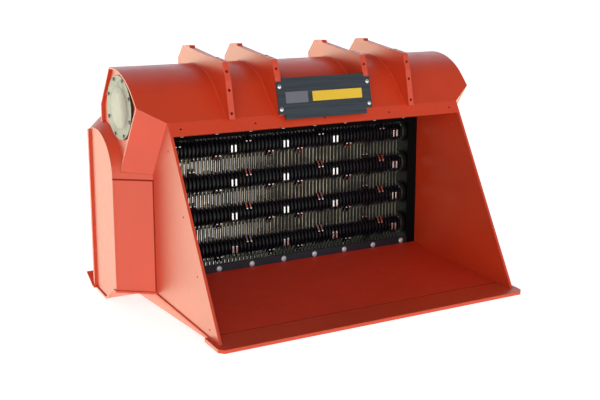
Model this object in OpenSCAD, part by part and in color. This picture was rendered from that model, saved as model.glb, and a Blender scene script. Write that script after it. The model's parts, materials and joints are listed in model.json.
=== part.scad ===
// Padding bucket: a welded bucket with an open back, closed by a comb and four driven hammer drums.
// X runs across the bucket, Y to the rear (the mouth looks along -Y), Z up; lengths in millimetres.
// Shapes are drawn from the mouth plane (y = 0), where the floor ends and the comb frame begins.

/* [Bucket] */
// Width over the two side plates
body_w = 2000; // [1960:10:2040]
// Thickness of the side plates
side_t = 16; // [12:1:20]
// Distance from the mouth plane forward to the tip of the cutting edge
tip_reach = 1055; // [1030:5:1080]
// Distance from the tip back to the foot of the side plates
side_back = 67; // [55:1:80]
// Height of the floor's top at the mouth plane
floor_back_z = 103; // [98:1:110]
// Height of the floor's top at the tip
floor_tip_z = 20; // [18:1:24]
// Thickness of the floor plate
floor_t = 14; // [10:1:16]
// Front-to-back length of the cutting edge
edge_l = 185; // [160:5:200]
// Overhang of the cutting edge past the side plates
edge_over = 30; // [20:1:40]
// Corner cut of the cutting edge
edge_corner = 26; // [15:1:40]
// Lip of the floor plate past the side plates
floor_lip = 8; // [5:1:12]
// Width of one skid runner
runner_w = 32; // [24:1:40]
// Distance the runners reach behind the mouth plane
runner_back = 130; // [110:2:150]
// Height of a runner's rear end
runner_back_h = 58; // [50:1:62]

/* [Beam] */
// Radius of the rolled beam shell
beam_r = 400; // [396:1:404]
// Distance of the shell's centre behind the mouth plane
beam_y = 42; // [38:1:46]
// Height of the shell's centre
beam_z = 992; // [988:1:996]
// Angle of the roll in front of the top
roll_front = 48; // [47:0.5:49]
// Angle of the roll behind the top
roll_back = 6; // [4:0.5:8]
// Length of the straight part of the shell
shell_l = 198; // [192:1:204]
// Thickness of the shell and back plate
shell_t = 12; // [10:1:14]
// Overhang of the beam past each side plate
beam_over = 147; // [140:1:152]
// Thickness of the beam's end plates
end_t = 15; // [12:1:18]
// Depth that the end plates lie inside the beam's ends
end_in = 16; // [12:1:20]
// Width of the lip bar
lip_l = 77; // [70:1:84]
// Slope of the lip bar
lip_slope = 60.6; // [59:0.2:62]
// Thickness of the lip bar
lip_t = 16; // [14:1:18]
// Distance of the back plate's bend behind the mouth plane
back_y = 239; // [230:1:250]
// Height of the back plate's bend
back_z = 1163; // [1150:1:1175]
// Height of the beam's floor plate
beam_floor_z = 1000; // [996:1:1004]
// Distance along the shell where the corner plate starts
corner_start = 86; // [80:1:92]
// Slope of the corner plate's long edges
corner_slope = 55.5; // [54.5:0.5:56.5]
// Thickness of the corner plate
corner_t = 10; // [8:1:12]
// Radius of a lip hole
lip_hole_r = 7; // [5:0.5:9]
// Radius of a side plate hole
side_hole_r = 6; // [4:0.5:8]

/* [Drive cases] */
// Width of one drive case outside the side plate
case_w = 187; // [180:1:194]
// Height of the top of the case's outer face
case_top_z = 1022; // [1016:1:1030]
// Radius of the roof band at the outer face
case_r = 265; // [258:1:270]
// Distance from the mouth plane back to the roof band's centre
case_y = 253; // [248:1:258]
// Slant of the case's flanks over its width
case_slant = 154; // [148:1:160]
// Distance from the mouth plane back to the rear edge of the outer face
case_back = 340; // [334:1:346]
// Thickness of the case's plates
case_t = 10; // [8:1:12]
// Thickness of the case's bottom plate
case_bottom_t = 12; // [10:1:14]
// Lip of the bottom plate past the case
case_lip = 8; // [5:1:12]
// Width of the rim at the rear edge of the outer face
case_rim_w = 20; // [14:1:26]
// Height of that rim
case_rim_h = 14; // [8:1:18]
// Length of the bottom plate behind the outer face
case_tail = 95; // [80:1:110]
// Least gap between an inspection cover and the beam's shell
cover_gap = 2; // [1:0.5:5]
// Thickness of the inspection cover
cover_t = 16; // [12:1:20]
// Radius of the plain round pad on the cover
cover_pad_r = 118; // [110:1:125]
// Distance of the cover's bolts from its rim
cover_bolt_in = 16; // [14:0.5:18]
// Distance of the motor axis in front of the mouth plane
motor_front = 50; // [46:1:54]
// Height of the motor axis
motor_z = 1172; // [1168:1:1176]

/* [Hitch ears] */
// Height of the ears above the beam's shell
ear_rise = 102; // [98:1:108]
// Distance the ears stand out in front of the beam's shell
ear_over = 66.5; // [62:0.5:72]
// Distance the ears reach behind the beam's back plate
ear_tail = 21; // [15:1:26]
// Half distance between the inner pair of ears
ear_in = 303; // [295:1:310]
// Half distance between the outer pair of ears
ear_out = 620; // [610:1:630]
// Thickness of an ear
ear_t = 36; // [30:1:40]
// Radius of the tapped holes in the ears
ear_hole_r = 9; // [7:0.5:11]
// Depth of the tapped holes in the ears
ear_hole_l = 45; // [35:1:55]

/* [Comb] */
// Distance between two comb bars
comb_pitch = 26.5; // [26:0.1:27]
// Thickness of a comb bar
bar_t = 8; // [6:0.5:9]
// Thickness of the rails
rail_t = 12; // [10:1:14]
// Depth of the rails behind the mouth plane
rail_d = 110; // [100:1:120]
// Visible height of the bottom rail above the floor
rail_h = 46; // [40:1:50]
// Width of the frame strip at each end
strip_w = 67; // [60:1:72]
// Distance between two rail bolts
rail_bolt_step = 230; // [220:1:240]
// Thickness of the bearing plates
bearing_plate_t = 25; // [20:1:28]
// Radius of a rail bolt's head
rail_bolt_r = 18; // [14:1:18]

/* [Drums] */
// Distance between two drum axes
drum_pitch = 214.5; // [212:0.5:216]
// Height of the lowest drum axis
drum_low_z = 214; // [213:0.5:216]
// Distance of the drum axes behind the mouth plane
drum_y = 150; // [147:1:153]
// Radius of the drum's core tube
core_r = 60; // [56:1:62]
// Radius of the stub shafts
shaft_r = 40; // [36:1:42]
// Radius of the blades' hub rings
hub_r = 66; // [64:1:70]
// Radius to the middle of a hammer tip
tip_r = 100; // [98:0.5:101]
// Thickness of a blade
blade_t = 10; // [8:0.5:11]
// Height of a hammer tip
tip_h = 54; // [46:1:56]
// Depth of a hammer tip
tip_d = 9; // [7:0.5:11]
// Teeth on each sprocket
sprocket_teeth = 15; // [15:1:15]
// Pitch of the drive chain
chain_pitch = 25.4; // [25.2:0.1:25.6]

/* [Hidden] */
$fn = 96;
hair = 0.01;
run_fit = 0.05;
weld_gap = 0.05;
half_w = body_w / 2;
inner_w = half_w - side_t;
beam_w = half_w + beam_over;
case_x = half_w + case_w;
deep = 2 * tip_reach;
side_reach = tip_reach - side_back;
rear_reach = case_back + case_slant;
centre_y = (tip_reach - rear_reach) / 2;

// The floor's top runs straight from the tip to the mouth plane.
floor_slope = (floor_back_z - floor_tip_z) / tip_reach;
function floor_z(y) = floor_back_z + floor_slope * y;
floor_front = edge_l - tip_reach;

// Points of the beam's cross-section, as [y, z].
beam_c = [beam_y, beam_z];
roll_dir = [-cos(roll_front), -sin(roll_front)];
roll_in = [sin(roll_front), -cos(roll_front)];
lip_dir = [-cos(lip_slope), -sin(lip_slope)];
lip_in = [sin(lip_slope), -cos(lip_slope)];
function on_roll(angle, r) = beam_c + r * [-sin(angle), cos(angle)];
shell_top = on_roll(roll_front, beam_r);
shell_top_in = on_roll(roll_front, beam_r - shell_t);
shell_foot = shell_top + shell_l * roll_dir;
shell_foot_in = shell_foot + shell_t * roll_in;
lip_foot = shell_foot + lip_l * lip_dir;
lip_foot_in = lip_foot + lip_t * lip_in;
lip_top_in = shell_foot + lip_t / cos(lip_slope - roll_front) * roll_in;
back_top = on_roll(-roll_back, beam_r);
back_top_in = on_roll(-roll_back, beam_r - shell_t);
back_bend = [back_y, back_z];
back_bend_in = [back_y - shell_t, back_z];
motor_c = [-motor_front, motor_z];

// The corner plate's long edges run along `corner_slope`; `corner_v` measures square to them.
function corner_v(p) = p[0] * sin(corner_slope) + p[1] * cos(corner_slope);
corner_v_end = corner_v(shell_top + corner_start * roll_dir);
corner_v_side = corner_v(shell_foot);
corner_tv = corner_t * norm([beam_over, corner_v_end - corner_v_side]) / beam_over;
module along_corner() rotate([90 - corner_slope, 0, 0]) linear_extrude(2 * deep, center = true) children();

function drum_z(i) = drum_low_z + (3 - i) * drum_pitch;
drum_c = [for (i = [0:3]) [drum_y, drum_z(i)]];
module across(x0, x1) translate([x0, 0, 0]) rotate([90, 0, 90]) linear_extrude(x1 - x0) children();
module both_sides() {
  children();
  mirror([1, 0, 0]) children();
}
module at_axis(p) translate([0, p[0], p[1]]) rotate([0, 90, 0]) children();

// Outlines of the beam: the part under the roll, and the roll itself above its chord.
module above_chord() polygon([shell_top, [-deep, deep], [back_top[0], deep], back_top]);
module beam_outline() {
  polygon([lip_foot, shell_foot, shell_top, back_top, back_bend, [back_y, beam_floor_z], [0, beam_floor_z]]);
  intersection() {
    translate(beam_c) circle(beam_r);
    above_chord();
  }
}
module roll_inside() intersection() {
  translate(beam_c) circle(beam_r - shell_t);
  polygon([shell_top_in, [-deep, deep], [back_top_in[0], deep], back_top_in]);
}
module beam_inside() {
  polygon([lip_foot_in, lip_top_in, shell_foot_in, shell_top_in, back_top_in, back_bend_in,
    [back_y - shell_t, beam_floor_z], [0, beam_floor_z]]);
  roll_inside();
}

// Side plates: one big plate a side, from the mouth's slanted front edge to the back of the case.
side_foot = [-side_reach, floor_z(-side_reach)];
side_front = lip_foot - side_foot;
side_in = [side_front[1], -side_front[0]] / norm(side_front);
side_hole_in = 75;
side_hole_shares = [0.049, 0.376, 0.664, 0.915];
side_bore_gap = 15;
side_bore_r = shaft_r + side_bore_gap;
module side_outline() {
  polygon([side_foot, lip_foot, lip_foot_in, [0, beam_floor_z], [0, floor_back_z]]);
  beam_inside();
  intersection() {
    case_base();
    polygon([side_foot, [0, floor_back_z], [0, 0], [deep, 0], [deep, deep], [-side_reach, deep]]);
  }
}
module side_plates() color("tomato") both_sides() difference() {
  across(inner_w, half_w) side_outline();
  for (s = side_hole_shares) at_axis(lip_foot - s * side_front + side_hole_in * side_in)
    cylinder(r = side_hole_r, h = deep);
  for (c = concat([motor_c], drum_c)) at_axis(c) cylinder(r = side_bore_r, h = deep);
}

// Floor: one sloping plate under the side plates, its edge standing out as a narrow lip.
case_front = case_y - case_r - case_slant;
floor_lip_end = case_front - 2 * case_lip;
module floor_plate() color("firebrick") intersection() {
  across(-half_w - floor_lip, half_w + floor_lip)
    polygon([[floor_front, floor_z(floor_front)], [0, floor_back_z],
      [0, floor_back_z - floor_t], [floor_front, floor_z(floor_front) - floor_t]]);
  linear_extrude(deep) union() {
    translate([-half_w, -tip_reach]) square([2 * half_w, tip_reach]);
    translate([-half_w - floor_lip, -tip_reach])
      square([2 * (half_w + floor_lip), tip_reach + floor_lip_end]);
  }
}

// Cutting edge: a thicker plate welded to the front of the floor, its corners cut.
edge_w = half_w + edge_over;
module cutting_edge() color("orangered") intersection() {
  across(-edge_w, edge_w) polygon([[-tip_reach, floor_tip_z], [floor_front, floor_z(floor_front)],
    [floor_front, floor_z(floor_front) - floor_tip_z], [-tip_reach, 0]]);
  linear_extrude(deep) polygon([[-edge_w, 0], [-edge_w, edge_corner - tip_reach],
    [edge_corner - edge_w, -tip_reach], [edge_w - edge_corner, -tip_reach],
    [edge_w, edge_corner - tip_reach], [edge_w, 0]]);
}

// Skid runners: wedges under the floor that the bucket stands on.
runner_shares = [-1, -0.5, 0, 0.5, 1];
module skid_runners() color("salmon") for (s = runner_shares)
  translate([s * (inner_w - runner_w / 2) - runner_w / 2, 0, 0]) across(0, runner_w)
    polygon([[floor_front, 0], [runner_back, 0], [runner_back, runner_back_h], [0, runner_back_h],
      [0, floor_back_z - floor_t], [floor_front, floor_z(floor_front) - floor_t]]);

// Beam shell: a rolled plate with a straight skirt, cut on a slant at its two ends.
module corner_space(inset) along_corner() polygon([[beam_w + hair, -deep],
  [beam_w + hair, corner_v_end + inset], [beam_w, corner_v_end + inset], [half_w, corner_v_side + inset],
  [half_w, -deep]]);
module beam_shell() color("indianred") difference() {
  across(-beam_w, beam_w) {
    intersection() {
      difference() {
        translate(beam_c) circle(beam_r);
        translate(beam_c) circle(beam_r - shell_t);
      }
      polygon([beam_c, on_roll(roll_front, deep), on_roll(0, 2 * deep), on_roll(-roll_back, deep)]);
    }
    polygon([shell_top, shell_foot, shell_foot_in, shell_top_in,
      on_roll(roll_front - 1, beam_r - shell_t / 2)]);
  }
  both_sides() corner_space(0);
}

// Beam back: a folded plate that closes the beam behind the ears.
module beam_back() color("brown") difference() {
  across(-beam_w, beam_w) polygon([back_top, back_bend, [back_y, beam_floor_z],
    [back_y - shell_t, beam_floor_z], back_bend_in, back_top_in]);
  both_sides() {
    case_form();
    across(inner_w, half_w) case_base();
  }
}

// Beam floor: closes the beam above the comb, from the lip bar to the back plate.
module beam_floor() color("maroon") across(-inner_w, inner_w)
  polygon([lip_foot_in + weld_gap * lip_in, [0, beam_floor_z], [back_y - shell_t, beam_floor_z],
    [back_y - shell_t, beam_floor_z + shell_t], [0, beam_floor_z + shell_t],
    lip_foot_in + weld_gap * lip_in - shell_t * lip_dir]);

// Lip bar: the bright edge bar under the beam, with five threaded holes.
lip_hole_shares = [-0.928, -0.464, 0, 0.464, 0.928];
lip_mid = (shell_foot + lip_foot) / 2;
module lip_bar() color("coral") difference() {
  across(-half_w, half_w) polygon([shell_foot, lip_foot, lip_foot_in, lip_top_in]);
  for (s = lip_hole_shares) translate([s * half_w, lip_mid[0], lip_mid[1]]) rotate([lip_slope, 0, 0])
    cylinder(r = lip_hole_r, h = 4 * lip_t, center = true);
}

// Beam end plates: close the beam's overhang a little inside its ends and carry the inspection covers.
end_x = beam_w - end_in;
cover_r = beam_r - shell_t - norm(motor_c - beam_c) - cover_gap;
cover_pcd_r = cover_r - cover_bolt_in;
cover_bolt_r = 6;
cover_head_r = 10;
cover_head_h = 7;
cover_pad_h = 2;
cover_count = 8;
module cover_places() for (k = [0:cover_count - 1]) at_axis(motor_c)
  rotate([0, 0, 360 / cover_count * (k + 0.5)]) translate([cover_pcd_r, 0, end_x - end_t]) children();
module cover_holes() cover_places() translate([0, 0, -hair])
  cylinder(r = cover_bolt_r + run_fit, h = 3 * end_t);
module end_plates() color("lightsalmon") both_sides() difference() {
  across(end_x - end_t, end_x) {
    polygon([shell_foot_in, shell_top_in, back_top_in, back_bend_in, [back_y - shell_t, case_roof_z],
      [-case_y, case_roof_z]]);
    roll_inside();
  }
  corner_space(corner_tv);
  case_form();
  at_axis(motor_c) cylinder(r = cover_pcd_r - 2 * cover_head_r, h = deep);
  cover_holes();
}

// Inspection covers: bolted round covers with a plain raised pad.
module covers() color("wheat") both_sides() difference() {
  at_axis(motor_c) translate([0, 0, end_x]) {
    cylinder(r = cover_r, h = cover_t);
    cylinder(r = cover_pad_r, h = cover_t + cover_pad_h);
  }
  cover_holes();
}
module cover_bolts() color("silver") both_sides() cover_places() {
  cylinder(r = cover_bolt_r, h = end_t + cover_t);
  translate([0, 0, end_t + cover_t]) cylinder(r = cover_head_r, h = cover_head_h);
}

// Corner plates: slanted plates between the end plates and the side plates.
module corner_plates() color("darksalmon") both_sides() difference() {
  intersection() {
    along_corner() polygon([[beam_w, corner_v_end], [half_w, corner_v_side],
      [half_w, corner_v_side + corner_tv], [beam_w, corner_v_end + corner_tv]]);
    across(half_w, beam_w)
      polygon([shell_top_in, shell_foot_in + beam_r * roll_dir,
        [-beam_r, case_roof_z], [case_y, case_roof_z]]);
  }
  case_form();
}

// The case is a slanted prism in plan; above `case_roof_z` a cone about the case's centre trims it.
case_roof_z = case_top_z - case_r;
case_flank = case_slant / case_w;
case_grow = norm([1, case_flank]);
case_c = [case_y, case_roof_z];
case_front_rise = 4;
case_front_z = floor_z(case_front) + case_front_rise;
case_fold_y = 20;
case_low_y = drum_y;
case_back_z = 40;
case_tail_rise = 62;
case_tail_slope = case_tail_rise / case_tail;
case_rear_z = case_back_z + case_tail_slope * case_slant;
module case_plan(inset) polygon([
  [half_w, case_front + inset * case_grow],
  [case_x - inset, case_y - case_r + inset * (case_grow - case_flank)],
  [case_x - inset, case_back - inset * (case_grow - case_flank)],
  [half_w, rear_reach - inset * case_grow]]);
module case_prism(inset, top) linear_extrude(top) case_plan(inset);
module case_cone(inset) translate([half_w, case_c[0], case_c[1]]) rotate([0, 90, 0])
  cylinder(r1 = case_r + case_slant - inset * case_grow, h = case_w, r2 = case_r - inset * case_grow);
module case_form() {
  case_prism(0, case_roof_z);
  intersection() {
    case_prism(0, deep);
    case_cone(0);
    translate([half_w, -deep, case_roof_z]) cube([case_w, 2 * deep, deep]);
  }
}
case_sole = [[case_fold_y, case_front_z], [case_low_y, case_bottom_t], [case_back, case_back_z],
  [rear_reach, case_rear_z]];
module case_base() {
  polygon([[case_front, case_front_z], each case_sole, [rear_reach, case_roof_z], [case_front, case_roof_z]]);
  intersection() {
    translate(case_c) circle(case_r + case_slant);
    translate([case_front, case_roof_z]) square([rear_reach - case_front, deep]);
  }
}
module above_sole(end_x) across(half_w, end_x)
  polygon([[-deep, case_front_z], each case_sole, [deep, case_rear_z], [deep, deep], [-deep, deep]]);

// Case flanks: the front and rear walls of each drive case.
module case_flanks() color("coral") both_sides() difference() {
  intersection() {
    case_prism(0, deep);
    above_sole(case_x - case_t);
    union() {
      translate([half_w, -deep, 0]) cube([case_w, 2 * deep, case_roof_z]);
      intersection() {
        case_cone(case_t);
        translate([half_w, case_y, 0]) cube([case_w, deep, deep]);
      }
    }
  }
  translate([0, 0, -hair]) case_prism(case_t, 2 * deep);
}

// Case roofs: the rolled cone band over each case, with a slot for the first chain.
module case_roofs() color("indianred") both_sides() difference() {
  intersection() {
    case_prism(0, deep);
    case_cone(0);
    translate([half_w, -deep, case_roof_z]) cube([case_w - case_t, 2 * deep, deep]);
  }
  case_cone(case_t);
  across(half_w - hair, plane_x[0] + chain_w) chain_area(motor_c, drum_c[0], chain_out_r + chain_t);
}

// Case covers: the flat outer plate of each case, with a rim along its rear edge.
case_rim_top = case_roof_z + sqrt(pow(case_r, 2) - pow(case_back - case_y, 2));
module case_covers() color("lightsalmon") both_sides() intersection() {
  above_sole(case_x + case_rim_h);
  union() {
    intersection() {
      case_form();
      translate([case_x - case_t, -deep, 0]) cube([case_t, 2 * deep, deep]);
    }
    translate([case_x - case_t, case_back - case_rim_w, 0])
      cube([case_t + case_rim_h, case_rim_w, case_rim_top]);
  }
}

// Case bottoms: a folded plate under each case, standing out as a lip, its tail bent up behind the case.
case_sole_low = [[case_back, case_back_z - case_bottom_t], [case_low_y, 0],
  [case_fold_y, case_front_z - case_bottom_t]];
module case_bottoms() color("darkred") both_sides() intersection() {
  across(half_w, case_x + case_rim_h + case_lip) polygon([[-deep, case_front_z], each case_sole,
    [rear_reach, case_rear_z - case_bottom_t], each case_sole_low, [-deep, case_front_z - case_bottom_t]]);
  union() {
    case_prism(-case_lip, deep);
    translate([half_w, case_back - case_rim_w, 0])
      cube([case_w + case_rim_h + case_lip, case_rim_w + case_tail, deep]);
  }
}

// Hitch ears: four thick plates welded round the beam, with machined pads and tapped holes.
// The outline is given as shares of the ear's length (from its rear) and height (from its top).
ear_rear = back_y + ear_tail;
ear_l = ear_rear - beam_y + beam_r + ear_over;
ear_top_z = beam_z + beam_r + ear_rise;
ear_h = ear_top_z - shell_foot[1];
ear_brow_share = [0.884, 0.175];
ear_knee_share = [0.9357, 0.44];
ear_foot_share = [1, 1];
ear_shares = [[0, 0.95], [0, 0.225], [0.11, 0.013], [0.245, 0], [0.257, 0.034], [0.31, 0.047], [0.685, 0.136],
  [0.694, 0.124], [0.863, 0.165], ear_brow_share, ear_knee_share, ear_foot_share, [0.75, 1]];
function on_ear(s) = [ear_rear - s[0] * ear_l, ear_top_z - s[1] * ear_h];
function lean(run) = atan2(run[0], run[1]) + 180;
ear_knee = on_ear(ear_knee_share);
ear_foot = on_ear(ear_foot_share);
ear_run = ear_foot - ear_knee;
ear_lean = lean(ear_run);
ear_brow = on_ear(ear_brow_share);
ear_brow_hole_share = 0.5;
ear_hole_shares = [0.245, 0.845];
ear_top_shares = [[0.172, 0.0064], [0.738, 0.135], [0.818, 0.154]];
module ear_outline() difference() {
  polygon([for (s = ear_shares) on_ear(s)]);
  beam_outline();
}
module ear_front_hole(start, run, share)
  translate([0, start[0] + share * run[0], start[1] + share * run[1]]) rotate([-90 - lean(run), 0, 0])
    translate([0, 0, -ear_hole_r]) cylinder(r = ear_hole_r, h = ear_hole_l + ear_hole_r);
module hitch_ears() color("salmon") for (x = [-ear_out, -ear_in, ear_in, ear_out]) translate([x, 0, 0])
  difference() {
    across(-ear_t / 2, ear_t / 2) ear_outline();
    for (s = ear_hole_shares) ear_front_hole(ear_knee, ear_run, s);
    ear_front_hole(ear_brow, ear_knee - ear_brow, ear_brow_hole_share);
    for (s = ear_top_shares) translate([0, on_ear(s)[0], on_ear(s)[1] - ear_hole_l])
      cylinder(r = ear_hole_r, h = ear_hole_l + ear_hole_r);
  }

// Sign plate: a plain dark plate with notched corners, bolted over the two inner ears.
sign_t = 8;
sign_up = 115;
sign_down = 126;
sign_tab_h = 191;
sign_tab = 19;
sign_notch = 41;
sign_bolt_r = ear_hole_r - run_fit;
sign_bolt_l = 35;
sign_head_r = 12;
sign_head_h = 5;
sign_mid = ear_knee + (ear_hole_shares[0] + ear_hole_shares[1]) / 2 * ear_run;
sign_gap = (ear_hole_shares[1] - ear_hole_shares[0]) / 2 * norm(ear_run);
module on_sign() translate([0, sign_mid[0], sign_mid[1]]) rotate([90 - ear_lean, 0, 0]) children();
module sign_places() for (x = [-ear_in, ear_in], y = [-sign_gap, sign_gap]) translate([x, y, 0]) children();
module sign_plate() color("darkslategray") on_sign() difference() {
  linear_extrude(sign_t) {
    square([2 * (ear_in + sign_tab), sign_tab_h], center = true);
    translate([-ear_in - sign_tab + sign_notch, -sign_down])
      square([2 * (ear_in + sign_tab - sign_notch), sign_up + sign_down]);
  }
  sign_places() cylinder(r = ear_hole_r, h = 3 * sign_t, center = true);
}
module sign_bolts() color("white") on_sign() sign_places() {
  translate([0, 0, -sign_bolt_l]) cylinder(r = sign_bolt_r, h = sign_bolt_l + sign_t);
  translate([0, 0, sign_t]) cylinder(r = sign_head_r, h = sign_head_h);
}

// Sign panels: two plain enamel panels on the sign plate, with nothing on them.
panel_t = 2;
panel_small_x = -269;
panel_small_w = 150;
panel_small_h = 66;
panel_big_x = -88;
panel_big_w = 345;
panel_big_h = 58;
module panel(x, w, h) translate([x, -h / 2, sign_t]) cube([w, h, panel_t]);
module sign_panels() color("gold") on_sign() {
  panel(panel_small_x, panel_small_w, panel_small_h);
  panel(panel_big_x, panel_big_w, panel_big_h);
}

// Comb frame: strips and rails that hold the comb, and the bearing plates at its ends.
strip_in = inner_w - strip_w;
bearing_plate_in = inner_w - bearing_plate_t;
comb_drop = 28;
comb_low = floor_back_z - comb_drop;
top_rail_h = 58;
rail_bolt_up = 20;
rail_bolt_z = [floor_back_z + rail_bolt_up, beam_floor_z - rail_bolt_up];
rail_bolt_in = 47;
rail_bolt_last = strip_in - rail_bolt_in;
rail_bolt_steps = floor((strip_in + rail_bolt_last) / rail_bolt_step);
rail_stud_r = 7;
rail_head_h = 8;
module frame_strips() color("dimgray") both_sides()
  translate([strip_in, 0, floor_back_z]) cube([strip_w, rail_t, beam_floor_z - floor_back_z]);
module rail_places(z) for (k = [0:rail_bolt_steps]) translate([rail_bolt_last - k * rail_bolt_step, 0, z])
  rotate([90, 0, 0]) children();
module rail_holes(z) rail_places(z) cylinder(r = rail_stud_r + run_fit, h = 3 * rail_t, center = true);
module bottom_rail() color("midnightblue") difference() {
  across(-strip_in, strip_in) {
    translate([0, comb_low]) square([rail_t, floor_back_z + rail_h - comb_low]);
    translate([0, comb_low]) square([rail_d, rail_t]);
  }
  rail_holes(rail_bolt_z[0]);
}
module top_rail() color("black") difference() {
  across(-strip_in, strip_in) {
    translate([0, beam_floor_z - top_rail_h]) square([rail_t, top_rail_h]);
    translate([0, beam_floor_z - rail_t]) square([rail_d, rail_t]);
  }
  rail_holes(rail_bolt_z[1]);
}
module rail_bolts() color("lightsteelblue") for (z = rail_bolt_z) rail_places(z) {
  translate([0, 0, -rail_t]) cylinder(r = rail_stud_r, h = rail_t);
  cylinder(r = rail_bolt_r, h = rail_head_h);
}
bearing_gap = 5;
module bearing_plates() color("black") both_sides() difference() {
  translate([bearing_plate_in, rail_t, comb_low])
    cube([bearing_plate_t, 2 * drum_y - rail_t, beam_floor_z - comb_low]);
  for (c = drum_c) at_axis(c) cylinder(r = shaft_r + bearing_gap, h = deep);
}

// Comb bars: scalloped plates that bulge over each drum between its blades.
bar_gap = 6;
bar_web = 18;
bar_front_r = core_r + bar_gap + bar_web;
bar_spine_front = 45;
bar_spine_d = 33;
bar_rear = bar_spine_front - bar_spine_d;
bar_foot = 38;
housing_l = 34;
core_gap = 20.5;
core_end = bearing_plate_in - housing_l - core_gap;
comb_clear = 3;
comb_half = floor((core_end - comb_clear) / comb_pitch);
module bar_outline() difference() {
  intersection() {
    union() {
      for (c = drum_c) translate(c) circle(bar_front_r);
      translate([drum_y - bar_spine_front, comb_low + rail_t])
        square([bar_spine_d, beam_floor_z - comb_low - 2 * rail_t]);
      for (z = [comb_low + rail_t, beam_floor_z - rail_t - bar_foot])
        translate([drum_y - bar_front_r, z]) square([bar_front_r - bar_rear, bar_foot]);
    }
    square([drum_y - bar_rear, beam_floor_z]);
  }
  for (c = drum_c) translate(c) circle(core_r + bar_gap);
}
module comb_bars() color("black") for (k = [-comb_half:comb_half])
  across(k * comb_pitch - bar_t / 2, k * comb_pitch + bar_t / 2) bar_outline();

// Bearing housings: one round housing at each end of each drum, bolted to the bearing plate.
housing_r = 74;
housing_pcd_r = 58;
housing_head_r = 9;
housing_head_h = 7;
module bearing_housings() color("slategray") both_sides() for (c = drum_c) at_axis(c) difference() {
  translate([0, 0, bearing_plate_in - housing_l]) cylinder(r = housing_r, h = housing_l);
  cylinder(r = shaft_r + run_fit, h = deep);
}
module housing_bolts() color("silver") both_sides() for (c = drum_c, k = [0:3]) at_axis(c)
  rotate([0, 0, 90 * (k + 0.5)]) translate([housing_pcd_r, 0, bearing_plate_in - housing_l - housing_head_h])
    cylinder(r = housing_head_r, h = housing_head_h);

// Drums: a core tube with stub shafts, blade plates in pairs astride the comb bars, and hard tips.
// Each pair of blades stands astride the bar of that count from the middle one, turned by that angle.
station_counts = [for (n = [0, 4, 10, 14, 18, 24, 28, 32]) if (n < comb_half) n];
station_angles = [0, -36, 36, 0, -36, 72, 36, 0];
shaft_end_gap = 60;
shaft_end = case_x - shaft_end_gap;
tip_over = 1;
module drum_core(i) color("dimgray") at_axis(drum_c[i]) {
  cylinder(r = core_r, h = 2 * core_end, center = true);
  cylinder(r = shaft_r, h = 2 * shaft_end, center = true);
}
module at_blades(i) at_axis(drum_c[i])
  for (n = [0:len(station_counts) - 1], side = n == 0 ? [1] : [-1, 1], b = [-0.5, 0.5])
    translate([0, 0, (side * station_counts[n] + b) * comb_pitch])
      rotate([0, 0, -station_angles[n]]) children();
module arm(low) translate([-tip_h / 2, low]) square([tip_h, tip_r - tip_d - low]);
module drum_blades(i) color("firebrick") at_blades(i) linear_extrude(blade_t, center = true) difference() {
  union() {
    circle(hub_r);
    arm(0);
    rotate(180) arm(0);
  }
  circle(core_r);
}
module drum_tips(i) color("white") at_blades(i) for (a = [0, 180]) rotate([0, 0, a])
  translate([-tip_h / 2, tip_r - tip_d, -blade_t / 2 - tip_over])
    cube([tip_h, tip_d, blade_t + 2 * tip_over]);

// Chain drive: the motor turns drum 1, and each drum turns the next, in two planes a side.
chain_first = 35;
chain_step = 45;
plane_x = [half_w + chain_first, half_w + chain_first + chain_step];
sprocket_t = 12;
roller_r = 7.9;
tooth_h = 5;
pitch_r = chain_pitch / 2 / sin(180 / sprocket_teeth);
sprocket_r = pitch_r + tooth_h;
module sprocket(bore_r) linear_extrude(sprocket_t, center = true) difference() {
  circle(sprocket_r);
  circle(bore_r);
  for (k = [0:sprocket_teeth - 1]) rotate(360 / sprocket_teeth * k) translate([pitch_r, 0])
    circle(roller_r, $fn = 32);
}
module drum_sprockets(i, planes) color("gray") both_sides() for (p = planes)
  at_axis(drum_c[i]) translate([0, 0, plane_x[p]]) sprocket(shaft_r);
chain_t = 12;
chain_w = 24;
chain_gap = 1;
chain_in_r = sprocket_r + chain_gap;
chain_out_r = chain_in_r + chain_t;
module chain_area(a, b, r) {
  translate(a) circle(r);
  translate(b) circle(r);
  translate(a) rotate(atan2(b[1] - a[1], b[0] - a[0])) translate([0, -r]) square([norm(b - a), 2 * r]);
}
chain_runs = [[0, motor_c, drum_c[0]], [1, drum_c[0], drum_c[1]], [0, drum_c[1], drum_c[2]],
  [1, drum_c[2], drum_c[3]]];
module drive_chains() color("darkgray") both_sides() for (run = chain_runs)
  across(plane_x[run[0]] - chain_w / 2, plane_x[run[0]] + chain_w / 2) difference() {
    chain_area(run[1], run[2], chain_out_r);
    chain_area(run[1], run[2], chain_in_r);
  }

// Motors: one hydraulic motor at each end inside the beam, flanged to the side plate.
motor_r = 92;
motor_l = 250;
motor_flange_t = 20;
motor_flange_r = 117;
motor_shaft_r = 25;
motor_bore_l = 80;
shaft_gap = 2;
module motors() color("steelblue") both_sides() at_axis(motor_c) difference() {
  translate([0, 0, inner_w - motor_l]) cylinder(r = motor_r, h = motor_l);
  translate([0, 0, inner_w - motor_bore_l]) cylinder(r = motor_shaft_r + run_fit, h = deep);
}
module motor_flanges() color("steelblue") both_sides() at_axis(motor_c)
  translate([0, 0, inner_w - motor_flange_t]) difference() {
    cylinder(r = motor_flange_r, h = motor_flange_t);
    cylinder(r = motor_r, h = motor_flange_t);
  }
module motor_shaft() color("silver") at_axis(motor_c) {
  translate([0, 0, inner_w - motor_bore_l + shaft_gap])
    cylinder(r = motor_shaft_r, h = plane_x[0] + sprocket_t + shaft_gap - inner_w + motor_bore_l);
  translate([0, 0, plane_x[0]]) sprocket(motor_shaft_r - hair);
}
module motor_shaft_right() motor_shaft();
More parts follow.
